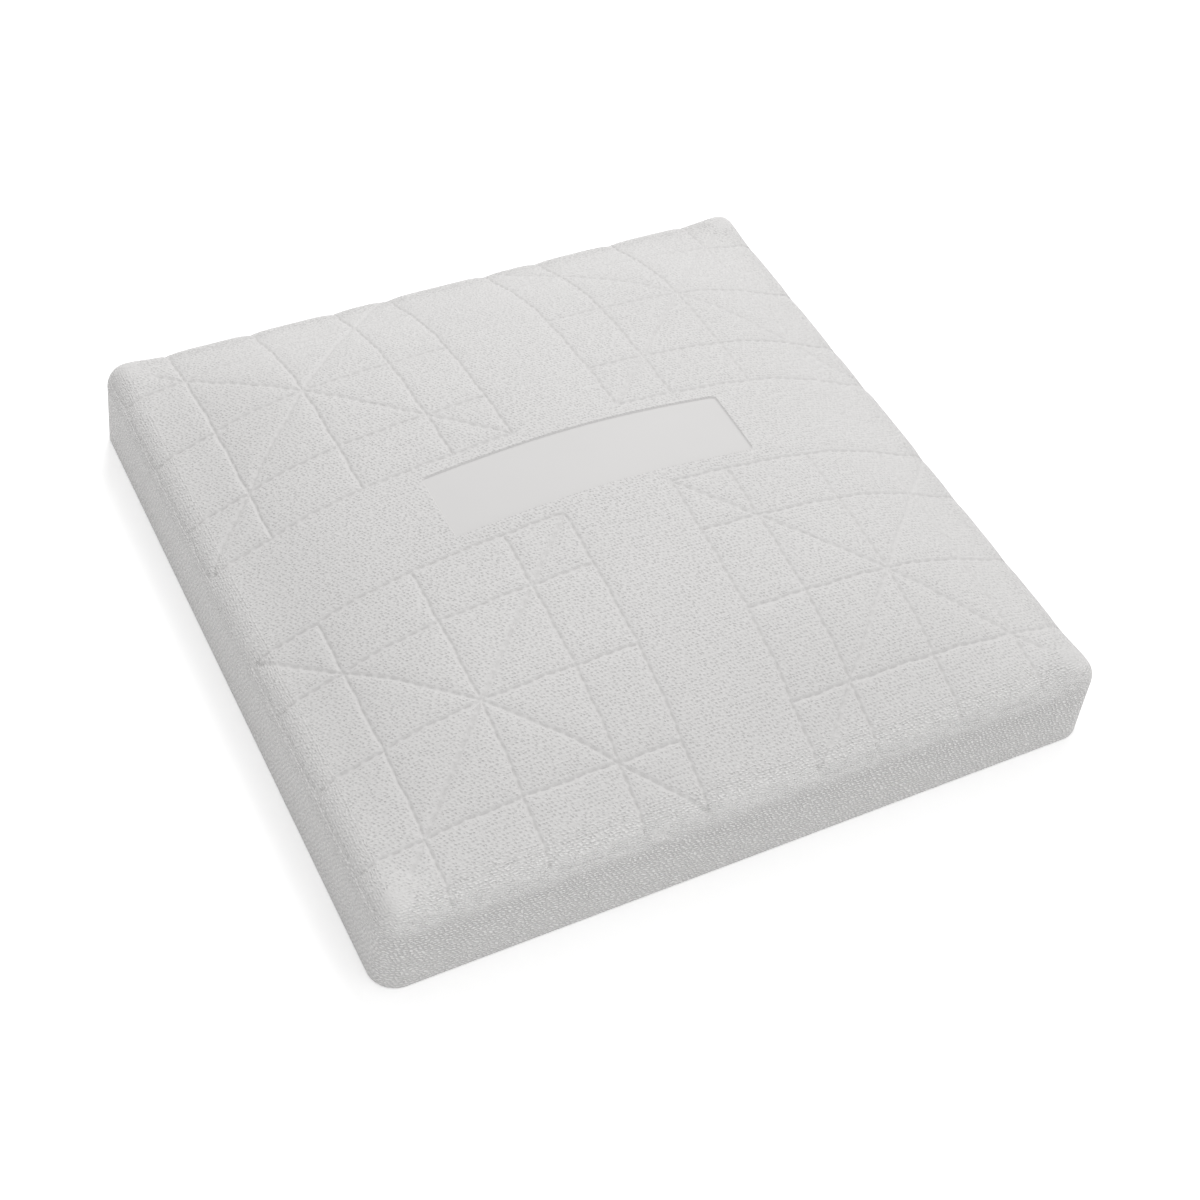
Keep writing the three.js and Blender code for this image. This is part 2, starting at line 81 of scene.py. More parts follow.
def add_node(
    tree: bpy.types.NodeTree,
    kind: str,
    settings: dict[str, object] | None = None,
    links: dict[str | int, object] | None = None,
) -> bpy.types.Node:
    """Adds one shader node.

    Args:
        tree: Node tree that takes the node.
        kind: Blender's name of the node class.
        settings: Attributes to set on the node.
        links: Input name or number, with the value or the output socket that feeds it.

    Returns:
        The new node.
    """
    node = tree.nodes.new(kind)
    for name, value in (settings or {}).items():
        setattr(node, name, value)
    for name, value in (links or {}).items():
        if isinstance(value, bpy.types.NodeSocket):
            tree.links.new(value, node.inputs[name])
        else:
            node.inputs[name].default_value = value
    return node


@dataclass(frozen=True)
class Finish:
    """A finish with its base colour and gloss; subclasses add what the surface shows."""

    name: str
    colour: str
    shade: str
    roughness: float
    ior: float = 1.5
    metallic: float = 0.0

    def material(self) -> bpy.types.Material:
        """Makes the Blender material of this finish.

        Returns:
            The new material.
        """
        made = bpy.data.materials.new(self.name)
        made.use_nodes = True
        tree = made.node_tree
        tree.nodes.clear()
        shader = add_node(tree, "ShaderNodeBsdfPrincipled", None, {
            "Roughness": self.roughness,
            "IOR": self.ior,
            "Metallic": self.metallic,
        })
        add_node(tree, "ShaderNodeOutputMaterial", None, {"Surface": shader.outputs[0]})
        self.dress(tree, shader)
        return made

    def dress(self, tree: bpy.types.NodeTree, shader: bpy.types.Node) -> None:
        """Sets the colour; the plain finish has no surface detail."""
        shader.inputs["Base Color"].default_value = linear(self.colour)


@dataclass(frozen=True)
class MouldedRubber(Finish):
    """White rubber pressed in a mould that was lined with coarse canvas.

    The canvas leaves small pits between its threads on the top and short ribs on the shoulder and
    the sides, and the skin is dull. The mesh says how strong each of them is. A tint is a share of
    the dark grey, and rest is that share in plain skin. Beside their bump relief, the pits and the
    rib valleys take painted shade from the grey and the rib crests a painted highlight; the mesh's
    third strength paints shade along the sewn lines, darkens the panel's recess and paints light on
    the front and back shoulders and sides. The means are taken off, so that the grain doesn't
    darken the whole.
    """

    # Dark grey that sets part of the skin's tone and gives all the painted shade.
    pit: str = "9d9b9b"
    rest: float = 0.35
    pit_along_mm: float = 1.8
    pit_row_mm: float = 1.75
    pit_uneven: float = 0.58
    pit_core: float = 0.06
    pit_edge: float = 0.4
    pit_least: float = 0.45
    pit_mean: float = 0.15
    pit_share: float = 1.0
    # Painted shade in the pits.
    pit_tint: float = 0.18
    rib_along_mm: float = 2.3
    rib_row_mm: float = 1.2
    rib_uneven: float = 0.5
    rib_crest: float = 0.1
    rib_foot: float = 0.6
    rib_mean: float = 0.6
    rib_share: float = 1.6
    # Painted shade in the rib valleys and a painted highlight on the crests.
    rib_tint: float = 0.55
    row_share: float = 0.3
    row_waver: float = 5.0
    crisp_low: float = 0.2
    crisp_high: float = 0.8
    # Weight of the mesh's painted shade and painted light.
    shade_tint: float = 0.09
    stagger: float = 0.42
    wander_mm: float = 6.0
    stray_mm: float = 1.5
    depth_mm: float = 0.31
    mottle_mm: float = 60.0
    mottle_detail: float = 4.0

    def strayed(self, tree: bpy.types.NodeTree) -> bpy.types.NodeSocket:
        """Adds the grain's coordinates, which waver a little as threads do.

        Args:
            tree: Node tree of the material.

        Returns:
            Socket with the coordinates in metres.
        """
        place = add_node(tree, "ShaderNodeUVMap", {"uv_map": GRAIN_UV}).outputs["UV"]
        cloud = add_node(tree, "ShaderNodeTexNoise", {"noise_dimensions": "2D"}, {
            "Vector": place,
            "Scale": 1 / (self.wander_mm * MM),
        })
        moved = add_node(tree, "ShaderNodeVectorMath", {"operation": "MULTIPLY_ADD"}, {
            0: cloud.outputs["Color"],
            1: (self.stray_mm * MM, self.stray_mm * MM, 0.0),
            2: place,
        })
        return moved.outputs[0]

    def threads(
        self,
        tree: bpy.types.NodeTree,
        place: bpy.types.NodeSocket,
        along_mm: float,
        row_mm: float,
        uneven: float,
    ) -> bpy.types.Node:
        """Adds a staggered net of uneven cells, one for each place where a thread shows.

        Args:
            tree: Node tree of the material.
            place: Coordinates in metres.
            along_mm: Length of a cell.
            row_mm: Distance from row to row.
            uneven: How far the cells stray from even places, from 0 to 1.

        Returns:
            The node, with the distance from a cell's middle and a value for each cell.
        """
        along = add_node(tree, "ShaderNodeVectorMath", {"operation": "DOT_PRODUCT"}, {
            0: place,
            1: (1 / (along_mm * MM), self.stagger / (row_mm * MM), 0.0),
        })
        row = add_node(tree, "ShaderNodeVectorMath", {"operation": "DOT_PRODUCT"}, {
            0: place,
            1: (0.0, 1 / (row_mm * MM), 0.0),
        })
        count = add_node(tree, "ShaderNodeCombineXYZ", None, {
            0: along.outputs["Value"],
            1: row.outputs["Value"],
        })
        return add_node(tree, "ShaderNodeTexVoronoi", {"voronoi_dimensions": "2D"}, {
            "Vector": count.outputs[0],
            "Scale": 1.0,
            "Randomness": uneven,
        })

    def pits(self, tree: bpy.types.NodeTree, place: bpy.types.NodeSocket) -> bpy.types.NodeSocket:
        """Adds the pits.

        Args:
            tree: Node tree of the material.
            place: Coordinates in metres.

        Returns:
            Socket that is up to 1 in the middle of a pit and 0 on the skin between them.
        """
        net = self.threads(tree, place, self.pit_along_mm, self.pit_row_mm, self.pit_uneven)
        hollow = add_node(tree, "ShaderNodeMapRange", {"interpolation_type": "SMOOTHSTEP"}, {
            "Value": net.outputs["Distance"],
            "From Min": self.pit_core,
            "From Max": self.pit_edge,
            "To Min": 1.0,
            "To Max": 0.0,
        })
        depth = add_node(tree, "ShaderNodeMapRange", None, {
            "Value": net.outputs["Color"],
            "To Min": self.pit_least,
        })
        uneven = add_node(tree, "ShaderNodeMath", {"operation": "MULTIPLY"}, {
            0: hollow.outputs[0],
            1: depth.outputs[0],
        })
        return uneven.outputs[0]

    def ribs(self, tree: bpy.types.NodeTree, place: bpy.types.NodeSocket) -> bpy.types.NodeSocket:
        """Adds short ribs in wavering rows.

        Args:
            tree: Node tree of the material.
            place: Coordinates in metres.

        Returns:
            Socket that is 0 on a rib's crest and 1 in the valleys between them.
        """
        net = self.threads(tree, place, self.rib_along_mm, self.rib_row_mm, self.rib_uneven)
        valley = add_node(tree, "ShaderNodeMapRange", {"interpolation_type": "SMOOTHSTEP"}, {
            "Value": net.outputs["Distance"],
            "From Min": self.rib_crest,
            "From Max": self.rib_foot,
        })
        scale = math.tau / (WAVE_TURNS * self.rib_row_mm * MM)
        rows = add_node(tree, "ShaderNodeTexWave", {"bands_direction": "Y"}, {
            "Vector": place,
            "Scale": scale,
            "Distortion": self.row_waver,
            "Detail Scale": 1 / (scale * self.wander_mm * MM),
        })
        both = add_node(tree, "ShaderNodeMix", {"data_type": "FLOAT"}, {
            0: self.row_share,
            2: valley.outputs[0],
            3: rows.outputs["Fac"],
        })
        crisp = add_node(tree, "ShaderNodeMapRange", {"interpolation_type": "SMOOTHSTEP"}, {
            "Value": both.outputs[0],
            "From Min": self.crisp_low,
            "From Max": self.crisp_high,
        })
        return crisp.outputs[0]

    def dress(self, tree: bpy.types.NodeTree, shader: bpy.types.Node) -> None:
        """Adds pits and ribs as bump and as painted shade and highlight, the mesh's painted shade
        and light, and a faint mottle.

        Args:
            tree: Node tree of the material.
            shader: Shader that takes them.
        """
        place = self.strayed(tree)
        mask = add_node(tree, "ShaderNodeAttribute", {"attribute_name": GRAIN_AND_SHADE_MASK})
        hollow = add_node(tree, "ShaderNodeCombineXYZ", None, {
            0: self.pits(tree, place),
            1: self.ribs(tree, place),
            2: 1.0,
        })
        uneven = add_node(tree, "ShaderNodeVectorMath", {"operation": "SUBTRACT"}, {
            0: hollow.outputs[0],
            1: (self.pit_mean, self.rib_mean, 0.0),
        })
        weight = add_node(tree, "ShaderNodeVectorMath", {"operation": "MULTIPLY"}, {
            0: uneven.outputs[0],
            1: mask.outputs["Vector"],
        })
        depth = add_node(tree, "ShaderNodeVectorMath", {"operation": "DOT_PRODUCT"}, {
            0: weight.outputs[0],
            1: (self.pit_share, self.rib_share, 0.0),
        })
        relief = add_node(tree, "ShaderNodeBump", {"invert": True}, {
            "Height": depth.outputs["Value"],
            "Distance": self.depth_mm * MM,
            "Strength": 1.0,
        })
        # Painted shade in pits and rib valleys, painted highlight on rib crests, and the mesh's
        # painted shade and light.
        change = add_node(tree, "ShaderNodeVectorMath", {"operation": "DOT_PRODUCT"}, {
            0: weight.outputs[0],
            1: (self.pit_tint, self.rib_tint, self.shade_tint),
        })
        tint = add_node(tree, "ShaderNodeMath", {"operation": "ADD"}, {
            0: change.outputs["Value"],
            1: self.rest,
        })
        cloud = add_node(tree, "ShaderNodeTexNoise", {"noise_dimensions": "2D"}, {
            "Vector": place,
            "Scale": 1 / (self.mottle_mm * MM),
            "Detail": self.mottle_detail,
        })
        skin = add_node(tree, "ShaderNodeMix", {"data_type": "RGBA"}, {
            0: cloud.outputs["Fac"],
            6: linear(self.colour),
            7: linear(self.shade),
        })
        tinted = add_node(tree, "ShaderNodeMix", {"data_type": "RGBA"}, {
            0: tint.outputs[0],
            6: skin.outputs[2],
            7: linear(self.pit),
        })
        tree.links.new(tinted.outputs[2], shader.inputs["Base Color"])
        tree.links.new(relief.outputs[0], shader.inputs["Normal"])


@dataclass(frozen=True)
class GrainedSheet(Finish):
    """Solid-coloured plastic or foam sheet with a fine all-over grain."""

    grit_mm: float = 1.2
    depth_mm: float = 0.12
    grit_detail: float = 4.0
    grit_roughness: float = 0.6
    strength: float = 0.8

    def dress(self, tree: bpy.types.NodeTree, shader: bpy.types.Node) -> None:
        """Adds the grain as bump and as a small change of shade.

        Args:
            tree: Node tree of the material.
            shader: Shader that takes them.
        """
        place = add_node(tree, "ShaderNodeTexCoord")
        grit = add_node(tree, "ShaderNodeTexNoise", None, {
            "Vector": place.outputs["Object"],
            "Scale": 1 / (self.grit_mm * MM),
            "Detail": self.grit_detail,
            "Roughness": self.grit_roughness,
        })
        tint = add_node(tree, "ShaderNodeMix", {"data_type": "RGBA"}, {
            0: grit.outputs["Fac"],
            6: linear(self.shade),
            7: linear(self.colour),
        })
        relief = add_node(tree, "ShaderNodeBump", None, {
            "Height": grit.outputs["Fac"],
            "Distance": self.depth_mm * MM,
            "Strength": self.strength,
        })
        tree.links.new(tint.outputs[2], shader.inputs["Base Color"])
        tree.links.new(relief.outputs[0], shader.inputs["Normal"])


@dataclass(frozen=True)
class SpangledZinc(Finish):
    """Steel with a skin of zinc, which sets in flat crystals of differing greys."""

    spangle_mm: float = 9.0
    grit_mm: float = 0.8
    glossier: float = 0.1
    duller: float = 0.12
    depth_mm: float = 0.04
    strength: float = 0.5

    def dress(self, tree: bpy.types.NodeTree, shader: bpy.types.Node) -> None:
        """Adds the crystals, each with its own grey and gloss, and a fine roughness.

        Args:
            tree: Node tree of the material.
            shader: Shader that takes them.
        """
        place = add_node(tree, "ShaderNodeTexCoord")
        crystals = add_node(tree, "ShaderNodeTexVoronoi", None, {
            "Vector": place.outputs["Object"],
            "Scale": 1 / (self.spangle_mm * MM),
        })
        tint = add_node(tree, "ShaderNodeMix", {"data_type": "RGBA"}, {
            0: crystals.outputs["Color"],
            6: linear(self.shade),
            7: linear(self.colour),
        })
        gloss = add_node(tree, "ShaderNodeMapRange", None, {
            "Value": crystals.outputs["Color"],
            "To Min": self.roughness - self.glossier,
            "To Max": self.roughness + self.duller,
        })
        grit = add_node(tree, "ShaderNodeTexNoise", None, {
            "Vector": place.outputs["Object"],
            "Scale": 1 / (self.grit_mm * MM),
        })
        relief = add_node(tree, "ShaderNodeBump", None, {
            "Height": grit.outputs["Fac"],
            "Distance": self.depth_mm * MM,
            "Strength": self.strength,
        })
        tree.links.new(tint.outputs[2], shader.inputs["Base Color"])
        tree.links.new(gloss.outputs[0], shader.inputs["Roughness"])
        tree.links.new(relief.outputs[0], shader.inputs["Normal"])


# Moulded rubber: a dull, warm white that shows the canvas of the mould as pits and ribs.
RUBBER = MouldedRubber("white_rubber_moulded", "ecebea", "e7e6e5", 0.68, 1.52)
# Cut closed-cell foam: dead matt grey, rough all over; its cells are drawn coarser so that they show.
FOAM = GrainedSheet("closed_cell_foam", "6f7378", "5d6166", 0.95, 1.4, grit_mm=1.6, depth_mm=0.3)
# Pressed polyethylene board: near black, with a soft sheen that its grain breaks up.
BOARD = GrainedSheet("polyethylene_board_grained", "2e3032", "232527", 0.55, 1.54)
# Hot-dip galvanised steel: cold grey crystals, some bright and some dull.
ZINC_DIPPED = SpangledZinc("steel_hot_dip_galvanised", "c3c7c7", "a3a8a9", 0.42, metallic=1.0)
# Zinc-plated steel: brighter and smoother, with small faint patches.
ZINC_PLATED = SpangledZinc(
    "steel_zinc_plated", "c9ccce", "b6babd", 0.3, metallic=1.0, spangle_mm=3.0, grit_mm=0.5,
)


def settled_mesh(rough: bpy.types.Object) -> bpy.types.Mesh:
    """Applies an object's modifiers.

    Args:
        rough: Object with its modifiers.

    Returns:
        A new mesh of what they give.
    """
    graph = bpy.context.evaluated_depsgraph_get()
    return bpy.data.meshes.new_from_object(rough.evaluated_get(graph))


@dataclass
class MeshParts:
    """Points, faces, grain coordinates and grain strengths gathered for one mesh."""

    points: list[np.ndarray] = field(default_factory=list)
    faces: list[list[int]] = field(default_factory=list)
    grain: list[np.ndarray] = field(default_factory=list)
    mask: list[np.ndarray] = field(default_factory=list)
    count: int = 0

    def add(
        self, points: np.ndarray, faces: np.ndarray, grain: np.ndarray, mask: np.ndarray,
    ) -> None:
        """Adds one block of points in millimetres with its faces.

        Args:
            points: Array of n points.
            faces: Array of faces that number the block's own points.
            grain: Array of n grain coordinates in millimetres.
            mask: Array of n triples, the strengths of pits, ribs and shade.
        """
        self.points.append(points)
        self.faces.extend((np.asarray(faces) + self.count).tolist())
        self.grain.append(grain)
        self.mask.append(mask)
        self.count += len(points)

    def add_grid(
        self, points: np.ndarray, grain: np.ndarray, mask: np.ndarray, flip: bool = False,
    ) -> None:
        """Adds a rectangular net of points.

        Args:
            points: Array of rows by columns by 3.
            grain: Array of rows by columns by 2.
            mask: Array of rows by columns by 3.
            flip: True to turn the faces over.
        """
        rows, columns = points.shape[:2]
        number = np.arange(rows * columns).reshape(rows, columns)
        corners = [number[:-1, :-1], number[:-1, 1:], number[1:, 1:], number[1:, :-1]]
        faces = np.stack(corners[::-1] if flip else corners, -1).reshape(-1, 4)
        self.add(points.reshape(-1, 3), faces, grain.reshape(-1, 2), mask.reshape(-1, 3))

    def build(self, name: str, weld_mm: float = 0.004) -> bpy.types.Object:
        """Makes the object, with the blocks welded where they meet.

        Args:
            name: Name of the object and its mesh.
            weld_mm: Points nearer than this become one.

        Returns:
            The object, in metres.
        """
        mesh = bpy.data.meshes.new(name)
        mesh.from_pydata((np.concatenate(self.points) * MM).tolist(), [], self.faces)
        index = np.empty(len(mesh.loops), dtype=np.int32)
        mesh.loops.foreach_get("vertex_index", index)
        layer = mesh.uv_layers.new(name=GRAIN_UV)
        layer.data.foreach_set("uv", (np.concatenate(self.grain)[index] * MM).ravel())
        strength = mesh.attributes.new(GRAIN_AND_SHADE_MASK, "FLOAT_VECTOR", "POINT")
        strength.data.foreach_set("vector", np.concatenate(self.mask).ravel())
        made = bpy.data.objects.new(name, mesh)
        bpy.context.scene.collection.objects.link(made)
        weld = made.modifiers.new("weld", "WELD")
        weld.merge_threshold = weld_mm * MM
        welded = settled_mesh(made)
        made.modifiers.clear()
        made.data = welded
        welded.name = name
        bpy.data.meshes.remove(mesh)
        welded.shade_smooth()
        welded.set_sharp_from_angle(angle=SHARP_ANGLE)
        return made


@dataclass
class Crown:
    """Outer form of the cover without its quilting, in millimetres."""

    side: float = 381.0
    draft: float = 1.5
    edge_height: float = 48.0
    edge_radius: float = 12.0
    rise: float = 27.5
    rise_power: float = 5.8
    rise_fall: float = 2.4
    swell: float = 12.0
    swell_power: float = 3.0
    bump: float = 2.0
    bump_radius: float = 17.0

    @property
    def bed(self) -> float:
        """Half of the bed, where the shoulder starts."""
        return self.side / 2 - self.draft - self.edge_radius

    @property
    def shoulder(self) -> float:
        """Length of the shoulder's arc."""
        return self.edge_radius * math.pi / 2

    @property
    def wall(self) -> float:
        """Height of the side below the shoulder."""
        return self.edge_height - self.edge_radius

    def from_corner(self, x: np.ndarray, y: np.ndarray) -> np.ndarray:
        """Plan distance from the nearest corner of the bed."""
        return np.hypot(np.abs(x) - self.bed, np.abs(y) - self.bed)

    def height(self, x: np.ndarray, y: np.ndarray) -> np.ndarray:
        """Height of the crown and its corner bumps over the plan.

        Args:
            x: Plan places along the panel.
            y: Plan places across the panel.

        Returns:
            Heights above the ground.
        """
        half = self.side / 2
        u = np.minimum(np.abs(x) / half, 1)
        v = np.minimum(np.abs(y) / half, 1)
        edge = (1 - u ** self.rise_power) * (1 - v ** self.rise_power)
        middle = np.maximum(np.cos(u * math.pi / 2) * np.cos(v * math.pi / 2), 0)
        away = self.from_corner(x, y) / self.bump_radius
        bump = self.bump * np.maximum(1 - away ** 2, 0) ** 2
        rise = self.rise * edge ** self.rise_fall
        return self.edge_height + rise + self.swell * middle ** self.swell_power + bump

    def fold(self, arc: np.ndarray) -> tuple[np.ndarray, np.ndarray, np.ndarray]:
        """Follows the shoulder and the side down from the bed.

        Args:
            arc: Lengths walked outwards from the bed's edge.

        Returns:
            How far out each place lies, how far the shoulder drops it, and its share of the way
            down the side.
        """
        bend = np.clip(arc, 0, self.shoulder) / self.edge_radius
        down = np.clip(arc - self.shoulder, 0, self.wall) / self.wall
        out = self.edge_radius * np.sin(bend) + self.draft * down
        return out, self.edge_radius * (1 - np.cos(bend)), down

    def point(self, u: np.ndarray, v: np.ndarray) -> np.ndarray:
        """Place on the outside for unrolled coordinates, which run over the edge onto the sides.

        Args:
            u: Unrolled places along the panel.
            v: Unrolled places across the panel.

        Returns:
            Points, with a last axis of 3.
        """
        near_u = np.clip(u, -self.bed, self.bed)
        near_v = np.clip(v, -self.bed, self.bed)
        over = np.hypot(u - near_u, v - near_v)
        out, drop, down = self.fold(over)
        scale = out / np.maximum(over, TINY)
        x = near_u + (u - near_u) * scale
        y = near_v + (v - near_v) * scale
        z = (self.height(x, y) - drop) * (1 - down)
        return np.stack([x, y, z], -1)

    def normal(self, u: np.ndarray, v: np.ndarray, step: float = 0.05) -> np.ndarray:
        """Outward direction for unrolled coordinates.

        Args:
            u: Unrolled places along the panel.
            v: Unrolled places across the panel.
            step: Distance over which the slope is taken.

        Returns:
            Unit vectors, with a last axis of 3.
        """
        along = self.point(u + step, v) - self.point(u - step, v)
        across = self.point(u, v + step) - self.point(u, v - step)
        out = np.cross(along, across)
        return out / np.linalg.norm(out, axis=-1, keepdims=True)


@dataclass(frozen=True)
class Seam:
    """One sewn line of a quilted square, by its two ends in unrolled millimetres."""

    start: tuple[float, float]
    end: tuple[float, float]
    runs_out: bool = False


@dataclass
class Quilting:
    """Sewn lines of the four quilted squares, in unrolled millimetres.

    The mould was made from a sewn base, so each line is a row of short pressed dashes.
    """

    crown: Crown
    band: float = 58.0
    border: float = 32.0
    margin: float = 2.0
    corner_gap: float = 10.0
    groove_depth: float = 0.92
    groove_width: float = 0.72
    pad_depth: float = 0.5
    pad_width: float = 4.2
    stitch_pitch: float = 6.0
    tie: float = 0.65
    tie_width: float = 0.9
    wander: float = 0.42
    wander_length: float = 5.2
    slow_share: float = 0.6
    quick_rate: float = 2.3
    quick_start: float = 1.0
    end_dip: float = 0.55
    end_width: float = 6.5
    end_length: float = 15.0

    @property
    def reach(self) -> float:
        """Plan distance of the outermost seam from the middle."""
        return self.crown.side / 2 - self.crown.draft - self.margin

    @property
    def lines(self) -> list[float]:
        """Plan distances of the straight seams that lie on the bed."""
        inner = self.band / 2
        return [inner, inner + self.border, (inner + self.reach) / 2, self.reach - self.border]

    def quarter_seams(self) -> list[Seam]:
        """Lays out one quilted square.

        Returns:
            Its seams, for places that are positive both ways.
        """
        crown = self.crown
        inner = self.band / 2
        bend = math.asin((self.reach - crown.bed) / crown.edge_radius)
        rim = crown.bed + crown.edge_radius * bend
        stop = crown.bed - self.corner_gap
        seams = []
        for line in self.lines:
            seams.append(Seam((line, inner), (line, rim), True))
            seams.append(Seam((inner, line), (rim, line), True))
        seams.append(Seam((rim, inner), (rim, crown.bed)))
        seams.append(Seam((inner, rim), (crown.bed, rim)))
        seams.append(Seam((inner, inner), (stop, stop)))
        seams.append(Seam((inner, self.reach), (self.reach, inner)))
        return seams

    def drift(self, along: np.ndarray) -> np.ndarray:
        """Finds how far a hand-guided seam strays sideways.

        Args:
            along: Places along the seam.

        Returns:
            Distances to the side.
        """
        turn = along / self.wander_length
        slow, quick = np.sin(turn), np.sin(self.quick_rate * turn + self.quick_start)
        return self.wander * (self.slow_share * slow + (1 - self.slow_share) * quick)

    def press(self, u: np.ndarray, v: np.ndarray) -> tuple[np.ndarray, np.ndarray, np.ndarray]:
        """Finds how near each place is to a sewn line, and how hard the stitches press it.

        Args:
            u: Unrolled places along the panel.
            v: Unrolled places across the panel.

        Returns:
            Distances to the nearest line, shares of the full depth of a stitch's dash, and shares
            of the dip where a line runs out over the edge.
        """
        x, y = np.abs(u + self.drift(v)), np.abs(v + self.drift(u))
        nearest = np.full(np.broadcast(x, y).shape, self.crown.side)
        pressed, ends = np.zeros_like(nearest), np.zeros_like(nearest)
        for seam in self.quarter_seams():
            (ax, ay), (bx, by) = seam.start, seam.end
            dx, dy = bx - ax, by - ay
            length = math.hypot(dx, dy)
            share = np.clip(((x - ax) * dx + (y - ay) * dy) / length ** 2, 0, 1)
            away = np.hypot(x - ax - share * dx, y - ay - share * dy)
            walked = share * round(length / self.stitch_pitch)
            gap = np.abs(walked - np.round(walked)) * self.stitch_pitch
            hold = 1 - self.tie * np.exp(-(gap / self.tie_width) ** 2)
            pressed = np.maximum(pressed, hold * np.exp(-(away / self.groove_width) ** 2))
            nearest = np.minimum(nearest, away)
            if seam.runs_out:
                left = (1 - share) * length / self.end_length
                ends = np.maximum(ends, np.exp(-left ** 2 - (away / self.end_width) ** 2))
        return nearest, pressed, ends

    def sink(self, distance: np.ndarray, pressed: np.ndarray, ends: np.ndarray) -> np.ndarray:
        """Depth of the surface below the crown, from what press finds."""
        pad = self.pad_depth * np.exp(-(distance / self.pad_width) ** 2)
        return self.groove_depth * pressed + pad + self.end_dip * ends


@dataclass
class Panel:
    """Plain recessed panel in the middle of the top, in millimetres."""

    length: float = 163.0
    width: float = 41.0
    corner: float = 2.5
    depth: float = 1.0
    wall: float = 0.35

    def inside(self, x: np.ndarray, y: np.ndarray) -> np.ndarray:
        """Finds what lies in the panel, with a steep wall round it.

        Args:
            x: Plan places along the panel.
            y: Plan places across the panel.

        Returns:
            Shares of the full depth.
        """
        dx = np.abs(x) - (self.length / 2 - self.corner)
        dy = np.abs(y) - (self.width / 2 - self.corner)
        past = np.hypot(np.maximum(dx, 0), np.maximum(dy, 0))
        edge = past + np.minimum(np.maximum(dx, dy), 0) - self.corner
        share = np.clip(0.5 - edge / (2 * self.wall), 0, 1)
        return share * share * (3 - 2 * share)


@dataclass
class Grain:
    """Where the rubber shows pits, ribs and shade; lengths in millimetres, the rest in shares.

    Light is painted on the shoulders and sides at the front and the back, as paler colour.
    """

    crown: Crown
    top_ribs: float = 0.15
    front_ribs: float = 1.25
    side_ribs: float = 0.62
    rib_lead: float = 6.0
    pit_loss: float = 0.5
    bump_core: float = 1.0
    bump_blend: float = 7.0
    bump_grain: float = 0.5
    seam_core: float = 0.3
    seam_blend: float = 1.5
    seam_grain: float = 0.25
    seam_end: float = 2.5
    seam_shade: float = 0.1
    panel_shade: float = 0.25
    # Painted light: the front and back shoulders and sides are made paler, as if more lit.
    painted_light: float = 3.7
    painted_light_side: float = 0.1
    painted_light_foot: float = 0.72
    painted_light_start: float = 3.0
    painted_light_place: float = 12.0
    painted_light_width: float = 7.0
    side_stretch: float = 0.68

    def place(self, place: np.ndarray) -> np.ndarray:
        """Finds grain coordinates; the mould draws the canvas longer on the sides.

        Args:
            place: Unrolled places.

        Returns:
            Coordinates of the grain there.
        """
        top = self.crown.bed + self.crown.shoulder
        away = np.abs(place)
        stretched = np.minimum(away, top) + np.maximum(away - top, 0) * self.side_stretch
        return np.copysign(stretched, place)

    def kept(self, base: np.ndarray, distance: np.ndarray, turned: np.ndarray) -> np.ndarray:
        """Finds how much grain is left on the corner bumps and beside the seams.

        Args:
            base: Points of the crown.
            distance: Distances to the nearest sewn line.
            turned: Shares of the way over the shoulder.

        Returns:
            Shares of the full grain.
        """
        away = self.crown.from_corner(base[..., 0], base[..., 1])
        smooth = np.clip((away - self.bump_core) / self.bump_blend, self.bump_grain, 1)
        sewn = 1 - np.clip((distance - self.seam_core) / self.seam_blend, self.seam_grain, 1)
        return smooth * (1 - sewn * np.clip(1 - self.seam_end * turned, 0, 1))

    def painted_light_share(self, over: np.ndarray) -> np.ndarray:
        """Finds how much light is painted on the shoulder and the side at the front and the back.

        Args:
            over: Lengths walked outwards from the bed's edge.

        Returns:
            Shares of the full painted light.
        """
        bell = np.exp(-((over - self.painted_light_place) / self.painted_light_width) ** 2)
        down = self.crown.fold(over)[2]
        side = self.painted_light_side + (self.painted_light_foot - self.painted_light_side) * down
        pale = np.where(over > self.painted_light_place, np.maximum(bell, side), bell)
        return pale * np.clip(over / self.painted_light_start, 0, 1)

    def mask(
        self, u: np.ndarray, v: np.ndarray, base: np.ndarray, distance: np.ndarray, recess: np.ndarray,
    ) -> np.ndarray:
        """Finds the grain's strengths and the painted light, apart from the seams' painted shade.

        Args:
            u: Unrolled places along the panel.
            v: Unrolled places across the panel.
            base: Points of the crown.
            distance: Distances to the nearest sewn line.
            recess: Shares of the panel's depth.

        Returns:
            Strengths of pits, ribs and shade, in a last axis of 3.
        """
        crown = self.crown
        over_u = np.maximum(np.abs(u) - crown.bed, 0)
        over_v = np.maximum(np.abs(v) - crown.bed, 0)
        over = np.hypot(over_u, over_v)
        turned = np.clip(over / crown.shoulder, 0, 1)
        plain = (1 - recess) * self.kept(base, distance, turned)
        share = over_v ** 2 / np.maximum(over ** 2, TINY)
        front = np.where(over > 0, share, np.abs(v) >= np.abs(u))
        ribbed = self.side_ribs + (self.front_ribs - self.side_ribs) * front
        rim = np.where(over > 0, over, np.maximum(np.abs(u), np.abs(v)) - crown.bed)
        near = np.clip((rim + self.rib_lead) / (self.rib_lead + crown.shoulder), 0, 1)
        ribs = self.top_ribs + (ribbed - self.top_ribs) * near
        pits = 1 - self.pit_loss * ribbed / self.front_ribs * turned
        # Third strength: darker panel recess, less the painted light on the front and back shoulders
        # and sides.
        shade = self.panel_shade * recess - self.painted_light * self.painted_light_share(over) * front
        return np.stack([plain * pits, plain * ribs, shade], -1)


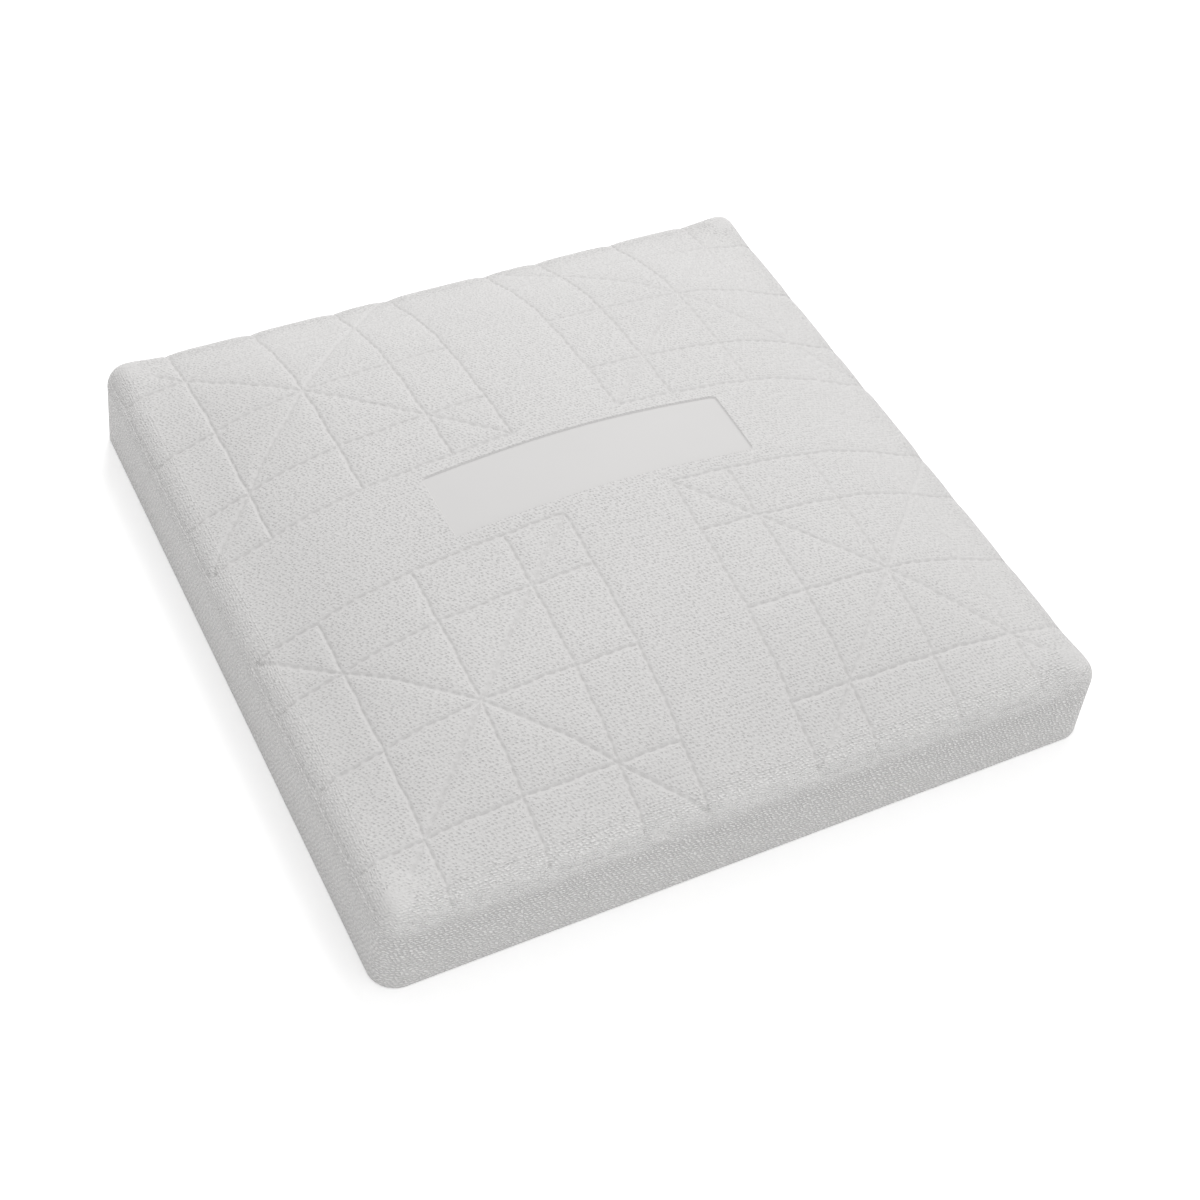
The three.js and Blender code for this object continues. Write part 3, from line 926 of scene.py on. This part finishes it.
@dataclass
class Cover:
    """The moulded rubber cover: quilted skin, sides, and the lip turned in below."""

    crown: Crown = field(default_factory=Crown)
    panel: Panel = field(default_factory=Panel)
    lip_width: float = 34.0
    lip_thickness: float = 10.0
    lip_corner: float = 3.0
    skin: float = 9.0
    foot_round: float = 0.8
    foot_inset: float = 0.48
    screw_pitch: float = 190.0
    sink_radius: float = 8.4
    sink_depth: float = 5.4
    hole_radius: float = 2.9
    seam_fade: float = 1.8
    coarse: float = 0.7
    fine: float = 0.42
    fine_reach: float = 2.5
    panel_fine: float = 0.32
    panel_inset: float = 1.5
    panel_reach: float = 3.0
    shoulder_points: int = 26
    side_points: int = 14
    corner_steps: int = 16
    circle_points: int = 40
    hollow_rings: int = 12
    hollow_least: float = 0.04
    quilting: Quilting = field(init=False)
    grain: Grain = field(init=False)

    def __post_init__(self) -> None:
        """Lays out the quilting and the grain on the crown."""
        self.quilting = Quilting(self.crown)
        self.grain = Grain(self.crown)

    def graded(self, half: float) -> np.ndarray:
        """Places along one axis of the bed, closer together near seams and panel edges.

        Args:
            half: Half of the bed.

        Returns:
            Rising places from minus half to half.
        """
        marks = [(line, self.fine_reach, self.fine) for line in self.quilting.lines]
        for edge in (self.panel.length / 2, self.panel.width / 2):
            marks.append((edge - self.panel_inset, self.panel_reach, self.panel_fine))
        places = [0.0]
        while places[-1] < half - self.coarse:
            here = places[-1]
            steps = [step for at, reach, step in marks if abs(here - at) < reach + self.coarse]
            places.append(here + min(steps + [self.coarse]))
        places = np.array(places + [half])
        for line in self.quilting.lines:
            places[np.argmin(np.abs(places - line))] = line
        return np.concatenate([-places[:0:-1], places])

    def dressed(self, u: np.ndarray, v: np.ndarray) -> tuple[np.ndarray, np.ndarray]:
        """Finished surface and grain strength for unrolled coordinates.

        Args:
            u: Unrolled places along the panel.
            v: Unrolled places across the panel.

        Returns:
            Points, and the strengths of pits, ribs and shade, both with a last axis of 3.
        """
        crown = self.crown
        distance, pressed, ends = self.quilting.press(u, v)
        past = [np.maximum(np.abs(place) - crown.bed, 0) for place in (u, v)]
        fade = np.clip(self.seam_fade * (1 - np.hypot(*past) / crown.shoulder), 0, 1)
        recess = self.panel.inside(u, v)
        sunk = self.quilting.sink(distance, pressed, ends) * fade + self.panel.depth * recess
        base = crown.point(u, v)
        mask = self.grain.mask(u, v, base, distance, recess)
        # Painted shade along the grooves of the sewn lines.
        mask[..., 2] += self.grain.seam_shade * pressed ** 2 * fade
        return base - crown.normal(u, v) * sunk[..., None], mask

    def add_strip(
        self, parts: MeshParts, u: np.ndarray, v: np.ndarray, flip: bool, grain: np.ndarray,
    ) -> None:
        """Adds one net of the skin.

        Args:
            parts: Mesh under construction.
            u: Unrolled places along the panel.
            v: Unrolled places across the panel.
            flip: True to turn the faces over.
            grain: Grain coordinates, in a last axis of 2.
        """
        points, mask = self.dressed(u, v)
        parts.add_grid(points, grain, mask, flip)

    def arcs(self) -> np.ndarray:
        """Divides the way from the bed's edge over the shoulder and down the side.

        Returns:
            Rising lengths from the bed's edge.
        """
        crown = self.crown
        shoulder = np.linspace(0, crown.shoulder, self.shoulder_points)
        side = np.linspace(0, crown.wall - self.foot_round, self.side_points)[1:]
        return np.concatenate([shoulder, crown.shoulder + side])

    def add_skin(self, parts: MeshParts) -> None:
        """Adds the bed, the four sides and the four ball corners.

        Args:
            parts: Mesh under construction.
        """
        bed = self.graded(self.crown.bed)
        arcs = self.arcs()
        u, v = np.meshgrid(bed, bed)
        self.add_strip(parts, u, v, False, np.stack([u, v], -1))
        for sign in (1, -1):
            out = sign * (self.crown.bed + arcs)
            along, down = np.meshgrid(bed, out)
            grain = np.stack([along, self.grain.place(down)], -1)
            self.add_strip(parts, along, down, sign < 0, grain)
            down, along = np.meshgrid(out, bed)
            grain = np.stack([along, self.grain.place(down)], -1)
            self.add_strip(parts, down, along, sign < 0, grain)
        for quarter in range(4):
            for half in range(2):
                self.add_corner(parts, arcs, quarter, half)

    def add_corner(self, parts: MeshParts, arcs: np.ndarray, quarter: int, half: int) -> None:
        """Adds half of a ball corner, with the grain of the wall next to it carried on to scale.

        Args:
            parts: Mesh under construction.
            arcs: Steps from the bed's edge down the side.
            quarter: Number of the corner, counter-clockwise.
            half: 0 for the half after its first wall, 1 for the half before its second.
        """
        bed = self.crown.bed
        wall = (quarter + half) * math.pi / 2
        start = (quarter + half / 2) * math.pi / 2
        sign_u, sign_v = self.corner_signs(quarter)
        turns = start + np.linspace(0, math.pi / 4, self.corner_steps // 2 + 1)
        turn, arc = np.meshgrid(turns, arcs)
        down = self.grain.place(bed + arc)
        along = bed + self.crown.fold(arc)[0] * np.abs(turn - wall)
        beside_u = (quarter + half) % 2 == 0
        along_sign, down_sign = (sign_v, sign_u) if beside_u else (sign_u, sign_v)
        grain = np.stack([along_sign * along, down_sign * down], -1)
        u, v = sign_u * bed + arc * np.cos(turn), sign_v * bed + arc * np.sin(turn)
        self.add_strip(parts, u, v, True, grain)

    def corner_signs(self, quarter: int) -> tuple[float, float]:
        """Signs of the plan places of a corner, counted counter-clockwise."""
        middle = math.pi / 4 + quarter * math.pi / 2
        return math.copysign(1, math.cos(middle)), math.copysign(1, math.sin(middle))

    def outline(self, half: float, corner: float) -> np.ndarray:
        """Draws a rounded square in plan.

        Args:
            half: Half of its side.
            corner: Radius of its corners.

        Returns:
            Plan points, counter-clockwise from its right side.
        """
        loop = []
        for quarter in range(4):
            sign_x, sign_y = self.corner_signs(quarter)
            turns = np.linspace(0, math.pi / 2, self.corner_steps + 1) + quarter * math.pi / 2
            for angle in turns:
                x = sign_x * (half - corner) + corner * math.cos(angle)
                y = sign_y * (half - corner) + corner * math.sin(angle)
                loop.append((x, y))
        return np.array(loop)

    def screw_places(self) -> list[tuple[float, float]]:
        """Spreads the rim screws along the lip.

        Returns:
            Their plan places.
        """
        crown = self.crown
        inner = crown.side / 2 - crown.draft - self.skin
        line = (inner + crown.side / 2 - self.lip_width) / 2
        along = self.screw_pitch / 2
        return [
            (x * line - y * side * along, y * line + x * side * along)
            for x, y in ((1, 0), (0, 1), (-1, 0), (0, -1))
            for side in (-1, 1)
        ]

    def circle(self, place: tuple[float, float], radius: float) -> np.ndarray:
        """Round loop in plan, counter-clockwise."""
        angles = np.arange(self.circle_points) * math.tau / self.circle_points
        return np.stack([place[0] + radius * np.cos(angles), place[1] + radius * np.sin(angles)], -1)

    def raised(self, loop: np.ndarray, height: float) -> np.ndarray:
        """Loop in plan lifted to a level."""
        return np.concatenate([loop, np.full((len(loop), 1), height)], 1)

    def add_flat(
        self, parts: MeshParts, loops: list[np.ndarray], height: float, down: bool,
    ) -> None:
        """Adds a level face with holes.

        Args:
            parts: Mesh under construction.
            loops: Outer loop first, then the holes.
            height: Level of the face.
            down: True if it faces the ground.
        """
        points = np.concatenate(loops)
        faces = tessellate_polygon([[Vector((x, y, 0.0)) for x, y in loop] for loop in loops])
        turned = []
        for a, b, c in faces:
            (ax, ay), (bx, by), (cx, cy) = points[a], points[b], points[c]
            upward = (bx - ax) * (cy - ay) - (by - ay) * (cx - ax) > 0
            turned.append((a, c, b) if upward == down else (a, b, c))
        mask = np.tile(LIP_GRAIN, (len(points), 1))
        parts.add(self.raised(points, height), np.array(turned), points, mask)

    def add_band(
        self, parts: MeshParts, low: np.ndarray, high: np.ndarray, flip: bool = False,
    ) -> None:
        """Adds a closed band between two loops, outward for a counter-clockwise pair.

        Args:
            parts: Mesh under construction.
            low: Points of the lower loop.
            high: Points of the upper loop.
            flip: True to turn the faces over.
        """
        loops = np.stack([np.concatenate([loop, loop[:1]]) for loop in (low, high)])
        mask = np.tile(LIP_GRAIN, (*loops.shape[:2], 1))
        parts.add_grid(loops, loops[..., :2] + loops[..., 2:], mask, flip)

    def foot_edge(self) -> np.ndarray:
        """Follows the lower edge of the skin round the base.

        Returns:
            Points of the edge, counter-clockwise.
        """
        crown = self.crown
        bed = self.graded(crown.bed)
        arc = crown.shoulder + crown.wall - self.foot_round
        side = np.stack([np.full_like(bed, crown.bed + arc), bed], -1)[:-1]
        turn = np.linspace(0, math.pi / 2, self.corner_steps + 1)
        ball = np.stack([crown.bed + arc * np.cos(turn), crown.bed + arc * np.sin(turn)], -1)[:-1]
        quarter = np.concatenate([side, ball])
        loop = []
        for cos, sin in ((1, 0), (0, 1), (-1, 0), (0, -1)):
            loop.append(quarter @ np.array([[cos, sin], [-sin, cos]]))
        return self.dressed(*np.concatenate(loop).T)[0]

    def add_underside(self, parts: MeshParts) -> None:
        """Adds the foot, the lip with its screw recesses, and the hollow above the lip.

        Args:
            parts: Mesh under construction.
        """
        crown = self.crown
        top = self.lip_thickness
        edge = self.foot_edge()
        foot = edge.copy()
        foot[:, :2] *= 1 - self.foot_inset / (crown.side / 2)
        foot[:, 2] = 0.0
        self.add_band(parts, foot, edge)
        mouth = self.outline(crown.side / 2 - self.lip_width, self.lip_corner)
        sinks = [self.circle(place, self.sink_radius) for place in self.screw_places()]
        bores = [self.circle(place, self.hole_radius) for place in self.screw_places()]
        self.add_flat(parts, [foot[:, :2], mouth, *sinks], 0.0, True)
        for sink, bore in zip(sinks, bores):
            self.add_band(parts, self.raised(sink, 0.0), self.raised(sink, self.sink_depth), True)
            self.add_flat(parts, [sink, bore], self.sink_depth, True)
            self.add_band(parts, self.raised(bore, self.sink_depth), self.raised(bore, top), True)
        inner = crown.side / 2 - crown.draft - self.skin
        rim = self.outline(inner, crown.edge_radius - self.skin)
        self.add_band(parts, self.raised(mouth, 0.0), self.raised(mouth, top), True)
        self.add_flat(parts, [rim, mouth, *bores], top, False)
        self.add_hollow(parts, rim)

    def add_hollow(self, parts: MeshParts, rim: np.ndarray) -> None:
        """Adds the inner wall and roof, a skin's thickness inside the crown.

        Args:
            parts: Mesh under construction.
            rim: Loop in plan where the inner wall stands on the lip.
        """
        rows = [self.raised(rim, self.lip_thickness)]
        for share in np.linspace(1, self.hollow_least, self.hollow_rings):
            x, y = rim[:, 0] * share, rim[:, 1] * share
            rows.append(np.stack([x, y, self.crown.height(x, y) - self.skin], -1))
        for low, high in zip(rows, rows[1:]):
            self.add_band(parts, low, high, True)
        count = len(rim)
        top = self.crown.height(np.zeros(1), np.zeros(1))[0] - self.skin
        points = np.concatenate([rows[-1], [[0.0, 0.0, top]]])
        faces = [[(k + 1) % count, k, count] for k in range(count)]
        parts.add(points, np.array(faces), points[:, :2], np.zeros((count + 1, 3)))

    def build(self) -> None:
        """Builds and dresses the cover, which stands for the CAD cover."""
        parts = MeshParts()
        self.add_skin(parts)
        self.add_underside(parts)
        made = parts.build("quilted_cover")
        made.data.materials.append(RUBBER.material())
        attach(made, ROOT_BODY)
        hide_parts("cover")
        LOG.info("cover: %d points", len(made.data.vertices))


def dress_node(name: str, material: bpy.types.Material) -> None:
    """Gives one CAD node a material.

    Args:
        name: Name of the node.
        material: Material it takes.
    """
    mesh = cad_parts[name].data
    mesh.materials.clear()
    mesh.materials.append(material)
    LOG.info("dressed %s", name)


@dataclass
class Core:
    """Foam core and the board below it, in millimetres."""

    node: str = "foam_core"
    board: str = "bottom_board"
    cell: float = 3.0
    relax_rounds: int = 4
    clearance: float = 0.5
    fill: float = 1.0

    def add_foam(self) -> bpy.types.Object:
        """Adds the foam block, with its cut edges softened, in the place of the CAD core.

        Returns:
            The block's object.
        """
        rough = bpy.data.objects.new("foam_rough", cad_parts[self.node].data.copy())
        bpy.context.scene.collection.objects.link(rough)
        remesh = rough.modifiers.new("skin", "REMESH")
        remesh.mode = "VOXEL"
        remesh.voxel_size = self.cell * MM
        relax = rough.modifiers.new("relax", "SMOOTH")
        relax.iterations = self.relax_rounds
        draw_in = rough.modifiers.new("draw_in", "DISPLACE")
        draw_in.mid_level = 0.0
        draw_in.strength = -self.clearance * MM
        block = settled_mesh(rough)
        bpy.data.objects.remove(rough)
        block.name = "foam_block"
        block.shade_smooth()
        block.materials.clear()
        block.materials.append(FOAM.material())
        made = bpy.data.objects.new("foam_block", block)
        bpy.context.scene.collection.objects.link(made)
        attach(made, ROOT_BODY)
        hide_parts(self.node)
        return made

    def build(self) -> None:
        """Adds the foam block and dresses the board."""
        foam = self.add_foam()
        LOG.info("foam block: %d points", len(foam.data.vertices))
        dress_node(self.board, BOARD.material())


@dataclass
class Anchor:
    """Steel plate with its socket, and the weld that joins them, in millimetres."""

    tube_side: float = 32.2
    plate_bottom: float = 6.0
    bead_radius: float = 1.5
    bead_offset: float = 0.15
    bead_flatness: float = 0.55
    bead_sides: int = 10
    bead_weld: float = 0.0001
    ripple: float = 0.22
    ripple_pitch: float = 2.4
    ripple_points: int = 8
    nodes: tuple[str, ...] = ("anchor_plate", "socket_tube", "socket_cap")

    def bead_path(self) -> np.ndarray:
        """Walks round the tube's outer edge, a fraction of a ripple at a time.

        Returns:
            Plan points of a square loop.
        """
        half = self.tube_side / 2 + self.bead_offset
        girth = 8 * half
        count = int(girth / (self.ripple_pitch / self.ripple_points))
        walk = np.arange(count) / count * girth
        side, along = (walk // (2 * half)).astype(int), walk % (2 * half) - half
        x = np.choose(side, [np.full(count, half), -along, np.full(count, -half), along])
        y = np.choose(side, [along, np.full(count, half), -along, np.full(count, -half)])
        return np.stack([x, y], -1)

    def add_bead(self, steel: bpy.types.Material) -> bpy.types.Object:
        """Adds the rippled weld bead round the mouth of the socket.

        Args:
            steel: Material of the plate.

        Returns:
            The bead's object.
        """
        path = self.bead_path()
        count, sides = len(path), self.bead_sides
        outward = path / np.linalg.norm(path, axis=1, keepdims=True)
        wave = np.abs(np.sin(np.arange(count) * math.pi / self.ripple_points))
        reach = self.bead_radius * (1 + self.ripple * wave)
        points = np.zeros((count, sides, 3))
        for k, angle in enumerate(np.arange(sides) * math.tau / sides):
            points[:, k, :2] = path + outward * (reach * math.cos(angle))[:, None]
            points[:, k, 2] = self.plate_bottom + self.bead_flatness * reach * math.sin(angle)
        ring = np.arange(count * sides).reshape(count, sides)
        after, turn = np.roll(ring, -1, 0), np.roll(ring, -1, 1)
        faces = np.stack([ring, turn, np.roll(after, -1, 1), after], -1).reshape(-1, 4)
        parts = MeshParts()
        flat = points.reshape(-1, 3)
        parts.add(flat, faces, flat[:, :2], np.zeros((len(flat), 3)))
        made = parts.build("socket_weld_bead", self.bead_weld)
        made.data.materials.append(steel)
        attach(made, ROOT_BODY)
        return made

    def build(self) -> None:
        """Dresses the CAD pieces and adds the weld."""
        steel = ZINC_DIPPED.material()
        for name in self.nodes:
            dress_node(name, steel)
        bead = self.add_bead(steel)
        LOG.info("weld bead: %d points", len(bead.data.vertices))


@dataclass
class Fasteners:
    """Bolts, washers, nuts and screws."""

    prefixes: tuple[str, ...] = (
        "plate_bolt", "plate_washer", "flange_nut", "rim_screw", "rim_washer",
    )

    def build(self) -> None:
        """Dresses every fastener."""
        steel = ZINC_PLATED.material()
        for name in sorted(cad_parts):
            if name.startswith(self.prefixes):
                dress_node(name, steel)


@dataclass
class Studio:
    """White floor, soft light and the camera at the photograph's angle, in metres."""

    camera_place: tuple[float, float, float] = (-0.38674, -0.61844, 0.80050)
    camera_right: tuple[float, float, float] = (0.89270, -0.44192, 0.08830)
    camera_up: tuple[float, float, float] = (0.27618, 0.69131, 0.66770)
    camera_back: tuple[float, float, float] = (-0.35612, -0.57166, 0.73918)
    clip_start: float = 0.01
    sensor_mm: float = 36.0
    focal_pixels: float = 2087.96
    image_pixels: float = 1200.0
    centre_pixels: tuple[float, float] = (573.0, 572.9)
    floor_reach: float = 6.0
    floor_drop: float = 0.0002
    floor_lit: str = "f9f9f9"
    white: str = "ffffff"
    glow: float = 0.235
    sky: float = 0.65
    sky_tilt: tuple[float, float, float] = (0.14, -0.20, 0.26)
    key_place: tuple[float, float, float] = (0.576, 1.293, 1.685)
    key_size: float = 0.6
    key_watts: float = 15.0

    def add_camera(self) -> None:
        """Adds the camera."""
        data = bpy.data.cameras.new("camera")
        data.sensor_width = self.sensor_mm
        data.lens = self.focal_pixels / self.image_pixels * self.sensor_mm
        data.shift_x = 0.5 - self.centre_pixels[0] / self.image_pixels
        data.shift_y = self.centre_pixels[1] / self.image_pixels - 0.5
        data.clip_start = self.clip_start
        made = bpy.data.objects.new("camera", data)
        axes = Matrix((self.camera_right, self.camera_up, self.camera_back)).transposed()
        made.matrix_world = Matrix.Translation(self.camera_place) @ axes.to_4x4()
        bpy.context.scene.collection.objects.link(made)
        bpy.context.scene.camera = made

    def add_seen(self, tree: bpy.types.NodeTree) -> bpy.types.NodeSocket:
        """Adds the test for rays that show the background white.

        Args:
            tree: Node tree that takes the test.

        Returns:
            Socket that is 1 where the camera, a gloss or glass sees the surface.
        """
        path = add_node(tree, "ShaderNodeLightPath")
        gloss = add_node(tree, "ShaderNodeMath", {"operation": "MAXIMUM"}, {
            0: path.outputs["Is Glossy Ray"],
            1: path.outputs["Is Transmission Ray"],
        })
        seen = add_node(tree, "ShaderNodeMath", {"operation": "MAXIMUM"}, {
            0: path.outputs["Is Camera Ray"],
            1: gloss.outputs[0],
        })
        return seen.outputs[0]

    def paper(self) -> bpy.types.Material:
        """Makes the floor's material: matt paper, white where it is seen, that keeps the shadow.

        Returns:
            The new material.
        """
        made = bpy.data.materials.new("white_paper_sweep")
        made.use_nodes = True
        tree = made.node_tree
        tree.nodes.clear()
        seen = self.add_seen(tree)
        colour = add_node(tree, "ShaderNodeMix", {"data_type": "RGBA"}, {
            0: seen,
            6: linear(self.floor_lit),
            7: linear(self.white),
        })
        matt = add_node(tree, "ShaderNodeBsdfDiffuse", None, {"Color": colour.outputs[2]})
        glow = add_node(tree, "ShaderNodeMath", {"operation": "MULTIPLY"}, {0: seen, 1: self.glow})
        lift = add_node(tree, "ShaderNodeEmission", None, {"Strength": glow.outputs[0]})
        both = add_node(tree, "ShaderNodeAddShader", None, {0: matt.outputs[0], 1: lift.outputs[0]})
        add_node(tree, "ShaderNodeOutputMaterial", None, {"Surface": both.outputs[0]})
        return made

    def add_floor(self) -> None:
        """Adds the white floor."""
        reach = self.floor_reach
        mesh = bpy.data.meshes.new("floor")
        corners = [(x * reach, y * reach, 0.0) for x, y in ((-1, -1), (1, -1), (1, 1), (-1, 1))]
        mesh.from_pydata(corners, [], [(0, 1, 2, 3)])
        mesh.materials.append(self.paper())
        made = bpy.data.objects.new("floor", mesh)
        made.location.z = -self.floor_drop
        bpy.context.scene.collection.objects.link(made)

    def add_world(self) -> None:
        """Adds the soft sky, white where the camera or a gloss sees it."""
        world = bpy.data.worlds.new("studio")
        bpy.context.scene.world = world
        world.use_nodes = True
        tree = world.node_tree
        tree.nodes.clear()
        way = add_node(tree, "ShaderNodeTexCoord")
        lean = add_node(tree, "ShaderNodeVectorMath", {"operation": "DOT_PRODUCT"}, {
            0: way.outputs["Generated"],
            1: self.sky_tilt,
        })
        sky = add_node(tree, "ShaderNodeMath", {"operation": "ADD"}, {
            0: lean.outputs["Value"],
            1: self.sky,
        })
        level = add_node(tree, "ShaderNodeMix", {"data_type": "FLOAT"}, {
            0: self.add_seen(tree),
            2: sky.outputs[0],
            3: 1.0,
        })
        light = add_node(tree, "ShaderNodeBackground", None, {
            "Color": linear(self.white),
            "Strength": level.outputs[0],
        })
        add_node(tree, "ShaderNodeOutputWorld", None, {"Surface": light.outputs[0]})

    def add_key(self) -> None:
        """Adds the soft square lamp, aimed at the base."""
        data = bpy.data.lights.new("key", "AREA")
        data.size = self.key_size
        data.energy = self.key_watts
        made = bpy.data.objects.new("key", data)
        made.location = self.key_place
        made.rotation_euler = (-Vector(self.key_place)).to_track_quat("-Z", "Y").to_euler()
        bpy.context.scene.collection.objects.link(made)

    def build(self) -> None:
        """Sets the whole studio."""
        self.add_camera()
        self.add_floor()
        self.add_world()
        self.add_key()
        bpy.context.scene.view_settings.view_transform = "Standard"
        LOG.info("studio set")


def main() -> None:
    """Builds the base and its studio in order."""
    logging.basicConfig(level=logging.INFO, format="%(name)s %(message)s")
    Studio().build()
    Cover().build()
    Core().build()
    Anchor().build()
    Fasteners().build()


if __name__ == "__main__":
    main()
